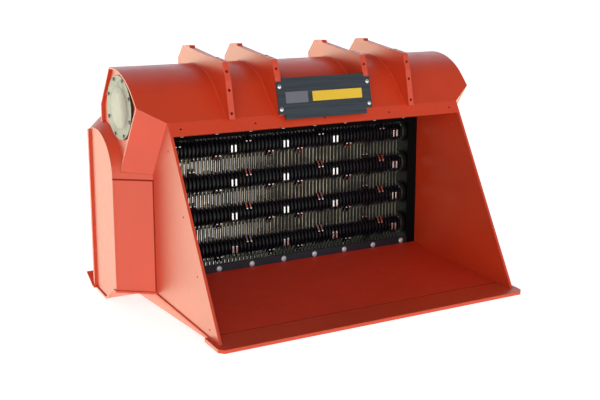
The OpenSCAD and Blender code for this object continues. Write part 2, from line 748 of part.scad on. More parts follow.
module motor_shaft_left() mirror([1, 0, 0]) motor_shaft();

// Hose block: the manifold on the beam's back.
block_w = 260;
block_d = 40;
block_h = 90;
hose_z = 1105;
module hose_block() color("silver") translate([-block_w / 2, back_y, hose_z - block_h / 2])
  cube([block_w, block_d, block_h]);

// Hose ports: three threaded unions on the block, where the machine's hoses are screwed on.
port_gap = 80;
port_r = 22;
port_bore_r = 12;
port_l = 45;
module hose_ports() color("gray") for (k = [-1:1]) translate([k * port_gap, back_y + block_d, hose_z])
  rotate([-90, 0, 0]) difference() {
    cylinder(r = port_r, h = port_l);
    translate([0, 0, -port_l]) cylinder(r = port_bore_r, h = 3 * port_l);
  }

module drum_1_core() drum_core(0);
module drum_2_core() drum_core(1);
module drum_3_core() drum_core(2);
module drum_4_core() drum_core(3);
module drum_1_blades() drum_blades(0);
module drum_2_blades() drum_blades(1);
module drum_3_blades() drum_blades(2);
module drum_4_blades() drum_blades(3);
module drum_1_tips() drum_tips(0);
module drum_2_tips() drum_tips(1);
module drum_3_tips() drum_tips(2);
module drum_4_tips() drum_tips(3);
module drum_1_sprockets() drum_sprockets(0, [0, 1]);
module drum_2_sprockets() drum_sprockets(1, [0, 1]);
module drum_3_sprockets() drum_sprockets(2, [0, 1]);
module drum_4_sprockets() drum_sprockets(3, [1]);

module centred() translate([0, centre_y, 0]) children();
centred() side_plates();
centred() floor_plate();
centred() cutting_edge();
centred() skid_runners();
centred() beam_shell();
centred() beam_back();
centred() beam_floor();
centred() lip_bar();
centred() end_plates();
centred() covers();
centred() cover_bolts();
centred() corner_plates();
centred() case_flanks();
centred() case_roofs();
centred() case_covers();
centred() case_bottoms();
centred() hitch_ears();
centred() sign_plate();
centred() sign_panels();
centred() sign_bolts();
centred() frame_strips();
centred() bottom_rail();
centred() top_rail();
centred() rail_bolts();
centred() bearing_plates();
centred() comb_bars();
centred() bearing_housings();
centred() housing_bolts();
centred() drive_chains();
centred() motors();
centred() motor_flanges();
centred() motor_shaft_left();
centred() motor_shaft_right();
centred() hose_block();
centred() hose_ports();
centred() drum_1_core();
centred() drum_2_core();
centred() drum_3_core();
centred() drum_4_core();
centred() drum_1_blades();
centred() drum_2_blades();
centred() drum_3_blades();
centred() drum_4_blades();
centred() drum_1_tips();
centred() drum_2_tips();
centred() drum_3_tips();
centred() drum_4_tips();
centred() drum_1_sprockets();
centred() drum_2_sprockets();
centred() drum_3_sprockets();
centred() drum_4_sprockets();
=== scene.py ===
import json
import math
import bmesh
import bpy
from mathutils import Matrix, Vector


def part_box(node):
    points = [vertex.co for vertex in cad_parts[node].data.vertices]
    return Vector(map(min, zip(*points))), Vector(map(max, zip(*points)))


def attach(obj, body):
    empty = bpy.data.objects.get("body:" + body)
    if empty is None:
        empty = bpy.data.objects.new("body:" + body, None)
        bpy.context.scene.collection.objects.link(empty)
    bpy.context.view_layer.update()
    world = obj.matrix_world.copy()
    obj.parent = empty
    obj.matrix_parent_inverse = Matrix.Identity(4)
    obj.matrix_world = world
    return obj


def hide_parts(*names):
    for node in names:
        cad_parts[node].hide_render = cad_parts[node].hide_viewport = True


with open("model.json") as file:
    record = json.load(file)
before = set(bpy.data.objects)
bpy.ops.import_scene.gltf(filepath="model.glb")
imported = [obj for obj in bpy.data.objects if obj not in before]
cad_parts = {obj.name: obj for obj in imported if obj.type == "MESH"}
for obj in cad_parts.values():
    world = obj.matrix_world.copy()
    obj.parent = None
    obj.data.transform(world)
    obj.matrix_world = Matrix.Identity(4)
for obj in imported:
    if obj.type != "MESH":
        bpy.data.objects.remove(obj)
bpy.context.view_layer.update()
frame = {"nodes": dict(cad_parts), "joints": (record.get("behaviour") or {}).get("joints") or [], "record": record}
scene = bpy.context.scene
scene.view_settings.view_transform = "Standard"

# Camera: a full-frame camera on a tall tripod, left of the bucket's front, that looks into the mouth.
# Its place, its direction and its lens were fitted to the photograph with points on the flat plates.
lens_mm = 64.12
sensor_mm = 36.0
camera_place = (-3.322, -5.452, 1.954)
camera_look = Vector((0.4975, 0.8406, -0.2141))
camera = bpy.data.objects.new("camera", bpy.data.cameras.new("camera"))
camera.data.lens = lens_mm
camera.data.sensor_width = sensor_mm
camera.location = camera_place
camera.rotation_euler = camera_look.to_track_quat("-Z", "Y").to_euler()
scene.collection.objects.link(camera)
scene.camera = camera


# Studio: a white floor before a white backdrop, with a dim room above and behind the camera.
# Floor and backdrop look white to the camera, and give less light than they show. Four large soft lamps
# stand round them: a warm one at the front left, two behind, and a weak one at the front right.
def add(tree, kind, inputs=None, **settings):
    """Adds a shader node; inputs holds values or sockets by name, and the rest are its settings."""
    made = tree.nodes.new("ShaderNode" + kind)
    for name, value in settings.items():
        setattr(made, name, value)
    for name, value in (inputs or {}).items():
        if isinstance(value, bpy.types.NodeSocket):
            tree.links.new(value, made.inputs[name])
        else:
            made.inputs[name].default_value = value
    return made


def ranged(tree, value, start, end, low, high):
    """A value carried over from one range to another, and kept inside it."""
    return add(tree, "MapRange", {"Value": value, "From Min": start, "From Max": end,
                                  "To Min": low, "To Max": high}).outputs["Result"]


def math_of(tree, operation, first, second):
    """The result of a sum, a product or the like of two values."""
    return add(tree, "Math", {0: first, 1: second}, operation=operation).outputs[0]


white = (1.0, 1.0, 1.0, 1.0)


def build_sky():
    """The world: white to the camera, a white backdrop in mirrors, and a low soft light on the rest."""
    world = bpy.data.worlds.new("sky")
    world.use_nodes = True
    scene.world = world
    sky = world.node_tree
    rays = add(sky, "LightPath")
    place = add(sky, "SeparateXYZ", {0: add(sky, "TexCoord").outputs["Generated"]})
    height = math_of(sky, "ABSOLUTE", place.outputs["Z"], 0.0)
    light = ranged(sky, height, 0.0, 1.0, horizon_light, zenith_light)
    behind = ranged(sky, place.outputs["Y"], *backdrop_starts, room_shown, 1.0)
    low = ranged(sky, height, *backdrop_ends, 1.0, room_shown)
    backdrop = math_of(sky, "MULTIPLY", behind, low)
    mirrored = ranged(sky, rays.outputs["Is Glossy Ray"], 0.0, 1.0, light, backdrop)
    strength = ranged(sky, rays.outputs["Is Camera Ray"], 0.0, 1.0, mirrored, 1.0)
    sky.nodes["Background"].inputs["Color"].default_value = white
    sky.links.new(strength, sky.nodes["Background"].inputs["Strength"])


def sun(name, strength, angle, azimuth, elevation, colour=white[:3]):
    """A soft lamp that shines from that azimuth (0 is the front, 90 the left) and elevation, in degrees."""
    lamp = bpy.data.objects.new(name, bpy.data.lights.new(name, "SUN"))
    lamp.data.energy = strength
    lamp.data.angle = math.radians(angle)
    lamp.data.color = colour
    a = math.radians(azimuth)
    e = math.radians(elevation)
    away = Vector((-math.sin(a) * math.cos(e), -math.cos(a) * math.cos(e), math.sin(e)))
    lamp.rotation_euler = away.to_track_quat("Z", "Y").to_euler()
    scene.collection.objects.link(lamp)


def build_floor():
    """The floor: white to the camera, brighter and a little warm in mirrors, and it keeps its shadows."""
    shape = bmesh.new()
    bmesh.ops.create_grid(shape, x_segments=1, y_segments=1, size=floor_reach)
    mesh = bpy.data.meshes.new("studio_floor")
    shape.to_mesh(mesh)
    shape.free()
    floor = bpy.data.objects.new("studio_floor", mesh)
    floor.visible_shadow = False
    scene.collection.objects.link(floor)
    look = bpy.data.materials.new("studio_floor")
    look.use_nodes = True
    tree = look.node_tree
    matt = tree.nodes["Principled BSDF"]
    matt.inputs["Base Color"].default_value = (floor_grey, floor_grey, floor_grey, 1.0)
    matt.inputs["Roughness"].default_value = floor_rough
    matt.inputs["Specular IOR Level"].default_value = 0.0
    rays = add(tree, "LightPath")
    lit = ranged(tree, rays.outputs["Is Camera Ray"], 0.0, 1.0, floor_light, floor_glow)
    mirrored = rays.outputs["Is Glossy Ray"]
    tint = add(tree, "CombineColor", {"Red": 1.0, "Green": ranged(tree, mirrored, 0.0, 1.0, 1.0, warm_green),
                                      "Blue": ranged(tree, mirrored, 0.0, 1.0, 1.0, warm_blue)})
    glow = add(tree, "Emission", {"Color": tint.outputs[0],
                                  "Strength": ranged(tree, mirrored, 0.0, 1.0, lit, floor_mirrored)})
    both = add(tree, "AddShader", {0: matt.outputs[0], 1: glow.outputs[0]})
    tree.links.new(both.outputs[0], tree.nodes["Material Output"].inputs["Surface"])
    mesh.materials.append(look)


horizon_light = 0.36
zenith_light = 0.26
room_shown = 0.2
backdrop_starts = (-0.2, 0.3)
backdrop_ends = (0.3, 0.8)
floor_reach = 90.0
floor_grey = 0.93
floor_rough = 0.9
floor_glow = 0.74
floor_light = 0.34
floor_mirrored = 1.45
warm_green = 0.98
warm_blue = 0.8
build_sky()
build_floor()
sun("key", strength=1.9, angle=56, azimuth=29, elevation=0, colour=(1.0, 1.0, 0.76))
sun("back_sheen", strength=2.3, angle=34, azimuth=154, elevation=-10, colour=(0.8, 0.9, 0.62))
sun("high_back", strength=0.35, angle=60, azimuth=200, elevation=40, colour=(0.78, 0.8, 1.0))
sun("front_glint", strength=0.3, angle=44, azimuth=-31, elevation=10)


# Bucket: two side plates, a sloping floor with a cutting edge, and runners, of flame-cut wear steel.
# The plates are shot-blasted, primed and sprayed with satin machine paint, which soil has dulled on the
# floor. The film has a fine orange peel and faint clouds, and it is thin on the plates' edges, which are
# painted paler, partly for the thin coat and partly as a painted highlight.
def linear(red, green, blue):
    """A display colour of 0 to 255 as the linear colour that a shader takes."""
    return tuple((c / 255 / 12.92 if c <= 10 else ((c / 255 + 0.055) / 1.055) ** 2.4)
                 for c in (red, green, blue)) + (1.0,)


def new_group(name, takes, gives):
    """A shader node group with those named inputs and outputs, and its two end nodes."""
    group = bpy.data.node_groups.new(name, "ShaderNodeTree")
    for socket, (kind, value) in takes.items():
        made = group.interface.new_socket(socket, in_out="INPUT", socket_type="NodeSocket" + kind)
        made.default_value = value
    for socket, kind in gives.items():
        group.interface.new_socket(socket, in_out="OUTPUT", socket_type="NodeSocket" + kind)
    return group, group.nodes.new("NodeGroupInput"), group.nodes.new("NodeGroupOutput")


def blended(tree, mask, first, second):
    """A colour that goes from the first to the second with the mask."""
    made = add(tree, "Mix", data_type="RGBA")
    tree.links.new(mask, made.inputs["Factor"])
    ends = [socket for socket in made.inputs if socket.type == "RGBA"]
    for socket, value in zip(ends, (first, second)):
        if isinstance(value, bpy.types.NodeSocket):
            tree.links.new(value, socket)
        else:
            socket.default_value = value
    return [socket for socket in made.outputs if socket.type == "RGBA"][0]


def noise(tree, place, scale, detail=3.0, roughness=0.55):
    """Plain noise on those coordinates, from 0 to 1 and mostly near a half."""
    return add(tree, "TexNoise", {"Vector": place, "Scale": scale, "Detail": detail,
                                  "Roughness": roughness}).outputs["Fac"]


def edge_mask(tree, radius):
    """A mask that is 1 on sharp edges, where the two normals part, and the normal with edges rounded."""
    rounded = add(tree, "Bevel", {"Radius": radius}, samples=6).outputs[0]
    flat = add(tree, "NewGeometry").outputs["Normal"]
    agree = add(tree, "VectorMath", {0: rounded, 1: flat}, operation="DOT_PRODUCT").outputs["Value"]
    return ranged(tree, agree, *edge_bend, 0.0, 1.0), rounded


def build_film():
    """Paint film: clouded colour and gloss, orange peel, and a paler edge colour, for a coat that is thin or worn
    there and for a painted highlight on the edges.
    """
    takes = {
        "Colour": ("Color", linear(206, 60, 30)),
        "Worn and lit edge": ("Color", linear(232, 120, 84)),
        "Gloss": ("Float", 0.4),
        "Edge": ("Float", 0.004),
        "Wear": ("Float", 0.4),
        "Peel": ("Float", 0.05),
    }
    group, given, out = new_group("paint_film", takes,
                                  {"Colour": "Color", "Roughness": "Float", "Normal": "Vector"})
    place = add(group, "TexCoord").outputs["Object"]
    tone = ranged(group, noise(group, place, scale=2.3, detail=4.0), 0.3, 0.7, 0.94, 1.05)
    shaded = add(group, "VectorMath", {0: given.outputs["Colour"], "Scale": tone},
                 operation="SCALE").outputs[0]
    edge, rounded = edge_mask(group, given.outputs["Edge"])
    patchy = ranged(group, noise(group, place, scale=60.0, detail=6.0, roughness=0.7), 0.36, 0.6, 0.15, 1.0)
    # The edge mix shows a thin or worn coat, and on the black finishes it is a painted highlight.
    edged = math_of(group, "MULTIPLY", math_of(group, "MULTIPLY", edge, patchy), given.outputs["Wear"])
    cloudy = ranged(group, noise(group, place, scale=17.0, detail=5.0, roughness=0.65), 0.3, 0.7, -0.05, 0.06)
    dimples = noise(group, place, scale=420.0, detail=2.0)
    peel = add(group, "Bump", {"Height": dimples, "Strength": given.outputs["Peel"], "Distance": 0.001,
                               "Normal": rounded}).outputs[0]
    group.links.new(blended(group, edged, shaded, given.outputs["Worn and lit edge"]), out.inputs["Colour"])
    group.links.new(math_of(group, "ADD", given.outputs["Gloss"], cloudy), out.inputs["Roughness"])
    group.links.new(peel, out.inputs["Normal"])
    return group


def coated(name, group, values, metallic=0.0, mirror=0.5):
    """A material whose colour, roughness and normal come from a group with those values."""
    look = bpy.data.materials.new(name)
    look.use_nodes = True
    tree = look.node_tree
    coat = tree.nodes.new("ShaderNodeGroup")
    coat.node_tree = group
    for socket, value in values.items():
        coat.inputs[socket].default_value = value
    shader = tree.nodes["Principled BSDF"]
    shader.inputs["Metallic"].default_value = metallic
    shader.inputs["Specular IOR Level"].default_value = mirror
    tree.links.new(coat.outputs["Colour"], shader.inputs["Base Color"])
    tree.links.new(coat.outputs["Roughness"], shader.inputs["Roughness"])
    tree.links.new(coat.outputs["Normal"], shader.inputs["Normal"])
    return look


def painted(name, colour, worn_and_lit_edge, gloss=0.42, worn_and_lit_share=0.35, edge=0.003, peel=0.06, mirror=0.5):
    """A painted finish of those display colours."""
    return coated(name, paint_film, {"Colour": linear(*colour), "Worn and lit edge": linear(*worn_and_lit_edge), "Gloss": gloss,
                                     "Edge": edge, "Wear": worn_and_lit_share, "Peel": peel}, mirror=mirror)


def dress(look, *names):
    """Gives frame pieces a finish."""
    for name in names:
        materials = frame["nodes"][name].data.materials
        materials.clear()
        materials.append(look)


edge_bend = (0.985, 0.86)
paint_film = build_film()
# The paler edge colours stand partly for a thin, worn coat and partly for a painted highlight on the edges.
red_edge_worn_and_lit = (236, 120, 84)
red_paint = painted("red_paint", (208, 62, 31), red_edge_worn_and_lit, gloss=0.34, mirror=0.7)
edge_paint = painted("cutting_edge_paint", (210, 66, 38), (238, 140, 110), gloss=0.34, worn_and_lit_share=0.7, edge=0.005)
floor_paint = painted("floor_paint", (220, 60, 34), red_edge_worn_and_lit, gloss=0.5, mirror=0.35)
dress(red_paint, "side_plates", "skid_runners")
dress(floor_paint, "floor_plate")
dress(edge_paint, "cutting_edge")


# Weld seams of the bucket: steel fillets laid by hand in short ripples, and painted with the plates.
# They run along the side plates inside and out. One more joins the floor to the cutting edge; soil has
# rubbed it dull, and its dark colour is painted shade in the joint.
def finished(name, shape, look, body, slot, *nodes, smooth=40):
    """Makes a piece of a mesh, smooth up to that angle, that rides on a body and stands for those nodes."""
    mesh = bpy.data.meshes.new(name)
    shape.to_mesh(mesh)
    shape.free()
    mesh.shade_smooth()
    mesh.set_sharp_from_angle(angle=math.radians(smooth))
    mesh.materials.append(look)
    made = bpy.data.objects.new(name, mesh)
    scene.collection.objects.link(made)
    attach(made, body)
    if nodes:
        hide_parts(*nodes)
    return made


def gather(shape, part, *places):
    """Adds a copy of the part to the shape at each place."""
    mesh = bpy.data.meshes.new("part")
    part.to_mesh(mesh)
    part.free()
    for place in places or [Matrix()]:
        before = len(shape.verts)
        shape.from_mesh(mesh)
        shape.verts.ensure_lookup_table()
        bmesh.ops.transform(shape, matrix=place, verts=shape.verts[before:])
    bpy.data.meshes.remove(mesh)


def facing(point, direction):
    """The place of a part that stands on the point and points in the direction."""
    return Matrix.Translation(point) @ Vector(direction).to_track_quat("Z", "Y").to_matrix().to_4x4()


def seam(shape, start, along, length, centre=None, angle=0.0):
    """Lays a rippled bead: straight along the run, or through an angle about a centre on the X axis."""
    bead = bmesh.new()
    bmesh.ops.create_circle(bead, cap_ends=True, segments=weld_sides, radius=weld_r,
                            matrix=facing(start, along))
    steps = 2 * max(2, round(length / ripple))
    step = Vector(along).normalized() * (0.0 if centre else length / steps)
    bmesh.ops.spin(bead, geom=bead.verts[:] + bead.edges[:] + bead.faces[:], cent=centre or start,
                   axis=(1, 0, 0), dvec=step, angle=angle, steps=steps)
    bead.verts.ensure_lookup_table()
    for first in range(0, len(bead.verts), 2 * weld_sides):
        ring = bead.verts[first:first + weld_sides]
        middle = sum((vert.co for vert in ring), Vector()) / weld_sides
        for vert in ring:
            vert.co = middle + weld_swell * (vert.co - middle)
    bmesh.ops.recalc_face_normals(bead, faces=bead.faces)
    gather(shape, bead)


weld_r = 0.0045
weld_sides = 6
weld_swell = 1.2
weld_sunk = weld_r * 0.6
ripple = 0.009
outer_run_share = 0.48
drum_axes = [Vector(joint["pos_m"]) for joint in frame["joints"] if joint["name"].startswith("drum")]
motor_axis = [Vector(joint["pos_m"]) for joint in frame["joints"] if joint["name"] == "motor_right_spin"][0]
edge_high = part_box("cutting_edge")[1]
floor_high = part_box("floor_plate")[1]
side_low, side_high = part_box("side_plates")
inner_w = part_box("beam_floor")[1][0]
mouth_y = floor_high[1]
mouth_z = floor_high[2]
edge_rear = Vector((0.0, edge_high[1], edge_high[2]))
floor_run = Vector((0.0, mouth_y, mouth_z)) - edge_rear
side_foot = edge_rear - floor_run * (edge_high[1] - side_low[1]) / floor_run.y
inner_run = mouth_y - side_foot.y
outer_run = (side_high[1] - side_low[1]) * outer_run_share
shape = bmesh.new()
for wall, run in ((-side_high[0], outer_run), (-inner_w, inner_run), (inner_w, inner_run),
                  (side_high[0], outer_run)):
    seam(shape, side_foot + Vector((wall, 0, 0)), floor_run, run)
finished("bucket_seams", shape, red_paint, "bucket", "paint")
# The dark colour of the dull seams is painted shade in the joints.
dull_seam_shade = painted("dull_seam_shade", (150, 40, 24), (170, 58, 38), gloss=0.7, mirror=0.1)
shape = bmesh.new()
seam(shape, edge_rear - Vector((inner_w, 0.0, weld_sunk)), (1, 0, 0), 2 * inner_w)
finished("floor_seam", shape, dull_seam_shade, "bucket", "paint")


# Beam: a rolled shell with a bent skirt, a folded back, end and corner plates, and a lip bar below.
# It is a closed box section of plate, welded to the side plates, and painted with them.
beam_r = 0.4
beam_behind = 0.092
beam_axis = Vector((0.0, motor_axis.y + beam_behind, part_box("beam_shell")[1][2] - beam_r))
roll_front = math.radians(48)
roll_back = math.radians(6)
skirt_l = 0.198
dress(red_paint, "beam_shell", "beam_back", "beam_floor", "lip_bar", "end_plates", "corner_plates")


def on_roll(angle):
    """The point of the beam's roll at that angle in front of its top."""
    return beam_axis + beam_r * Vector((0.0, -math.sin(angle), math.cos(angle)))


skirt_along = Vector((0.0, -math.cos(roll_front), -math.sin(roll_front)))
skirt_foot = on_roll(roll_front) + skirt_l * skirt_along


# Hitch ears: four thick flame-cut plates over the beam, with machined pads on top for the quick hitch.
# A fillet weld runs up both faces of each ear along the skirt, the roll and the back.
ear_low, ear_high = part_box("hitch_ears")
ear_mounts = [mount for mount in frame["record"]["mounts"] if mount["name"].startswith("ear")]
ear_places = sorted({mount["pos_m"][0] for mount in ear_mounts})
ear_half = ear_high[0] - ear_places[-1]
back_bend_z = 1.163
roll_angle = roll_front + roll_back
back_top = on_roll(-roll_back)
back_run = Vector((0.0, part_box("beam_back")[1][1], back_bend_z)) - back_top
dress(red_paint, "hitch_ears")
shape = bmesh.new()
for x in ear_places:
    for side in (-ear_half, ear_half):
        over = Vector((x + side, 0.0, 0.0))
        seam(shape, skirt_foot + over, -skirt_along, skirt_l)
        seam(shape, on_roll(roll_front) + over, -skirt_along, beam_r * roll_angle,
             centre=beam_axis, angle=-roll_angle)
        seam(shape, back_top + over, back_run, back_run.length)
finished("ear_seams", shape, red_paint, "bucket", "paint")


# Drive cases: welded boxes of thin plate with a rolled roof, one outside each side plate, that keep dirt
# off the chains; a folded plate closes them below. A fillet joins each to its side plate, and another
# runs along its shoulder. Both fillets are dull with dust, and their dark colour is painted shade in the joints.
dress(red_paint, "case_flanks", "case_roofs", "case_covers", "case_bottoms")
case_low, case_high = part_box("case_flanks")
case_slant = 0.154
cover_lip = 0.01
case_roof_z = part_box("case_roofs")[0][2]
case_front = Vector((side_high[0], case_low[1], 0.0))
case_corner = Vector((case_high[0] + cover_lip, case_front.y + case_slant, 0.0))
foot_up = Vector((0.0, 0.0, mouth_z))
roof_up = Vector((0.0, 0.0, case_roof_z))
shape = bmesh.new()
for side in (-1, 1):
    turn = Matrix.Diagonal((side, 1.0, 1.0, 1.0))
    seam(shape, turn @ (case_front + foot_up), (0, 0, 1), case_roof_z - mouth_z)
    shoulder = turn @ (case_front + roof_up)
    run = turn @ (case_corner + roof_up) - shoulder
    seam(shape, shoulder, run, run.length)
finished("case_seams", shape, dull_seam_shade, "bucket", "paint")


# Inspection covers: turned steel plates with a raised pad, bolted to the beam's end plates in their
# recess. They are only primed, and grey with dust; their outer wall in the narrow gap round each is
# painted black, as painted shade in the recess.
# Each closes the hole through which the motor and the first chain are reached.
def turned(profile, sides, closed=False):
    """A round part turned from a profile of radius and height, about its own Z axis."""
    part = bmesh.new()
    points = [part.verts.new((radius, 0.0, height)) for radius, height in profile]
    pairs = zip(points, points[1:] + points[:1]) if closed else zip(points, points[1:])
    line = [part.edges.new(pair) for pair in pairs]
    bmesh.ops.spin(part, geom=points + line, cent=(0, 0, 0), axis=(0, 0, 1), angle=math.tau, steps=sides,
                   use_merge=True)
    bmesh.ops.remove_doubles(part, verts=part.verts, dist=0.00001)
    bmesh.ops.recalc_face_normals(part, faces=part.faces)
    return part


def build_primer():
    """Cover finish: chalky primer, paler on the pad, smudged on the rim, and painted black on the outer wall as
    painted shade of the recess.
    """
    look = bpy.data.materials.new("cover_primer")
    look.use_nodes = True
    tree = look.node_tree
    place = add(tree, "TexCoord").outputs["Object"]
    out = add(tree, "VectorMath", {0: place, 1: motor_axis}, operation="SUBTRACT").outputs[0]
    flat = add(tree, "VectorMath", {0: out, 1: (0.0, 1.0, 1.0)}, operation="MULTIPLY").outputs[0]
    radius = add(tree, "VectorMath", {0: flat}, operation="LENGTH").outputs["Value"]
    rim = ranged(tree, radius, cover_pad_r - pad_blur, cover_pad_r + pad_blur, 0.0, 1.0)
    smudge = ranged(tree, noise(tree, place, scale=14.0, detail=5.0, roughness=0.6), 0.42, 0.7, 0.0, 0.5)
    wall = ranged(tree, radius, cover_r - shade_start, cover_r - shade_full, 0.0, 1.0)
    base = blended(tree, rim, linear(*pad_primer), linear(*rim_primer))
    dirty = blended(tree, math_of(tree, "MULTIPLY", smudge, rim), base, linear(*dust))
    rough = ranged(tree, noise(tree, place, scale=30.0, detail=4.0), 0.3, 0.7, 0.42, 0.6)
    chalk = noise(tree, place, scale=500.0, detail=3.0)
    bump = add(tree, "Bump", {"Height": chalk, "Strength": 0.1, "Distance": 0.001})
    shader = tree.nodes["Principled BSDF"]
    tree.links.new(blended(tree, wall, dirty, linear(*painted_recess_shade)), shader.inputs["Base Color"])
    tree.links.new(rough, shader.inputs["Roughness"])
    tree.links.new(bump.outputs[0], shader.inputs["Normal"])
    return look


covers_low, covers_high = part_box("covers")
cover_r = (covers_high[1] - covers_low[1]) / 2
cover_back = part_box("end_plates")[1][0]
cover_pad_r = 0.118
cover_pad_h = 0.002
cover_t = covers_high[0] - cover_pad_h - cover_back
cover_sides = 96
chamfer = 0.002
pad_primer = (158, 147, 140)
rim_primer = (134, 127, 118)
dust = (112, 106, 98)
# The black of the cover's outer wall is painted shade in the recess.
painted_recess_shade = (26, 24, 24)
pad_blur = 0.004
shade_start = 0.0012
shade_full = 0.0004
cover_seats = [facing((side * cover_back, motor_axis.y, motor_axis.z), (side, 0, 0)) for side in (-1, 1)]
cover = turned([(0.0, 0.0), (cover_r, 0.0), (cover_r, cover_t - chamfer), (cover_r - chamfer, cover_t),
                (cover_pad_r + chamfer, cover_t), (cover_pad_r, cover_t + cover_pad_h / 2),
                (cover_pad_r - chamfer, cover_t + cover_pad_h), (0.0, cover_t + cover_pad_h)], cover_sides)
shape = bmesh.new()
gather(shape, cover, *cover_seats)
finished("inspection_covers", shape, build_primer(), "bucket", "bare_cover", "covers")


# Cover bolts: eight cold-forged hex bolts on plain washers hold each cover to its end plate.
# They are zinc plated, and thread grease and dust have darkened them.
def build_grain():
    """Bare metal: fine grain, stains, and edges rubbed bright."""
    takes = {
        "Colour": ("Color", linear(185, 188, 192)),
        "Stain": ("Color", linear(120, 118, 112)),
        "Bright": ("Color", linear(225, 226, 228)),
        "Gloss": ("Float", 0.35),
        "Stained": ("Float", 0.4),
        "Edge": ("Float", 0.0015),
        "Depth": ("Float", 0.1),
    }
    group, given, out = new_group("metal_grain", takes,
                                  {"Colour": "Color", "Roughness": "Float", "Normal": "Vector"})
    place = add(group, "TexCoord").outputs["Object"]
    grain = noise(group, place, scale=200.0, detail=4.0, roughness=0.6)
    edge, rounded = edge_mask(group, given.outputs["Edge"])
    blotch = ranged(group, noise(group, place, scale=38.0, detail=5.0, roughness=0.65), 0.42, 0.72, 0.0, 1.0)
    stained = blended(group, math_of(group, "MULTIPLY", blotch, given.outputs["Stained"]),
                      given.outputs["Colour"], given.outputs["Stain"])
    brightened = blended(group, math_of(group, "MULTIPLY", edge, 0.6), stained, given.outputs["Bright"])
    rough = math_of(group, "ADD", given.outputs["Gloss"], ranged(group, grain, 0.3, 0.7, -0.08, 0.1))
    bump = add(group, "Bump", {"Height": grain, "Strength": given.outputs["Depth"], "Distance": 0.001,
                               "Normal": rounded}).outputs[0]
    group.links.new(brightened, out.inputs["Colour"])
    group.links.new(rough, out.inputs["Roughness"])
    group.links.new(bump, out.inputs["Normal"])
    return group


def metal(name, colour, stain, bright, gloss, metallic=1.0, stained=0.4, depth=0.1):
    """A bare, plated or primed metal of those display colours."""
    return coated(name, metal_grain, {"Colour": linear(*colour), "Stain": linear(*stain),
                                      "Bright": linear(*bright), "Gloss": gloss, "Stained": stained,
                                      "Depth": depth}, metallic)


def hexagon(radius, foot, height):
    """A hexagonal prism about the Z axis, whose foot is at that level."""
    part = bmesh.new()
    bmesh.ops.create_cone(part, cap_ends=True, segments=6, radius1=radius, radius2=radius, depth=height,
                          matrix=Matrix.Translation((0, 0, foot + height / 2)))
    return part


def bevel(part, edges, width, segments=1):
    """Cuts those edges of a part back by that width."""
    bmesh.ops.bevel(part, geom=edges, offset=width, segments=segments, affect="EDGES", profile=0.5,
                    material=-1)


def hex_bolt(washer_r, washer_t, head_r, head_h):
    """A hex head on its washer, standing on the origin."""
    bolt = turned([(0.0, 0.0), (washer_r, 0.0), (washer_r, washer_t * washer_wall_share),
                   (washer_r * 0.95, washer_t), (0.0, washer_t)], bolt_sides)
    head = hexagon(head_r, washer_t, head_h)
    top = [edge for edge in head.edges if all(vert.co.z > washer_t + head_h / 2 for vert in edge.verts)]
    bevel(head, top, head_h * head_edge_share)
    gather(bolt, head)
    return bolt


def bolt_ring(count, radius, level):
    """The places of bolts in a ring about the Z axis, at that level."""
    return [Matrix.Rotation(math.tau * (n + 0.5) / count, 4, "Z") @ Matrix.Translation((radius, 0, level))
            for n in range(count)]


metal_grain = build_grain()
dark_zinc = metal("dark_zinc", (92, 88, 86), (40, 38, 38), (235, 235, 235), gloss=0.3, stained=0.6)
bolt_sides = 24
washer_wall_share = 0.7
head_edge_share = 0.15
cover_bolt_in = 0.016
cover_bolt_count = 8
ring = bolt_ring(cover_bolt_count, cover_r - cover_bolt_in, cover_t)
shape = bmesh.new()
gather(shape, hex_bolt(washer_r=0.0115, washer_t=0.0015, head_r=0.0095, head_h=0.0055),
       *[seat @ turn for seat in cover_seats for turn in ring])
finished("cover_bolts_hex", shape, dark_zinc, "bucket", "zinc", "cover_bolts")


# Sign plate: a sawn steel plate with notched corners, screwed over the front edges of the two inner ears.
# Its slate paint is brushed on and shows faint level streaks. The two thin panels glued on it are
# plain enamelled sheet with round corners.
def build_slate():
    """Sign finish: slate paint with level brush streaks."""
    takes = {"Colour": ("Color", linear(31, 40, 52)), "Pale": ("Color", linear(62, 74, 88))}
    group, given, out = new_group("slate_film", takes,
                                  {"Colour": "Color", "Roughness": "Float", "Normal": "Vector"})
    place = add(group, "TexCoord").outputs["Object"]
    level = add(group, "VectorMath", {0: place, 1: (3.0, 90.0, 90.0)}, operation="MULTIPLY").outputs[0]
    streak = noise(group, level, scale=1.0, detail=4.0, roughness=0.6)
    edge, rounded = edge_mask(group, 0.002)
    pale = given.outputs["Pale"]
    brushed = blended(group, ranged(group, streak, 0.4, 0.75, 0.0, 0.55), given.outputs["Colour"], pale)
    edged = blended(group, math_of(group, "MULTIPLY", edge, 0.5), brushed, pale)
    bump = add(group, "Bump", {"Height": streak, "Strength": 0.15, "Distance": 0.001,
                               "Normal": rounded}).outputs[0]
    group.links.new(edged, out.inputs["Colour"])
    group.links.new(ranged(group, streak, 0.3, 0.7, 0.28, 0.45), out.inputs["Roughness"])
    group.links.new(bump, out.inputs["Normal"])
    return group


def block(centre, size):
    """A plain block of that size about that centre."""
    part = bmesh.new()
    bmesh.ops.create_cube(part, size=1.0, matrix=Matrix.Translation(centre) @ Matrix.Diagonal((*size, 1.0)))
    return part


def flat_panel(width, height, thickness, corner):
    """A plain panel with round corners and a slight edge radius; its left edge's middle is on the origin."""
    part = block((width / 2, 0.0, thickness / 2), (width, height, thickness))
    upright = [edge for edge in part.edges if abs(edge.verts[0].co.z - edge.verts[1].co.z) > thickness / 2]
    bevel(part, upright, corner, segments=4)
    rim = [edge for edge in part.edges if all(vert.co.z > thickness / 2 for vert in edge.verts)]
    bevel(part, rim, thickness / 4)
    return part


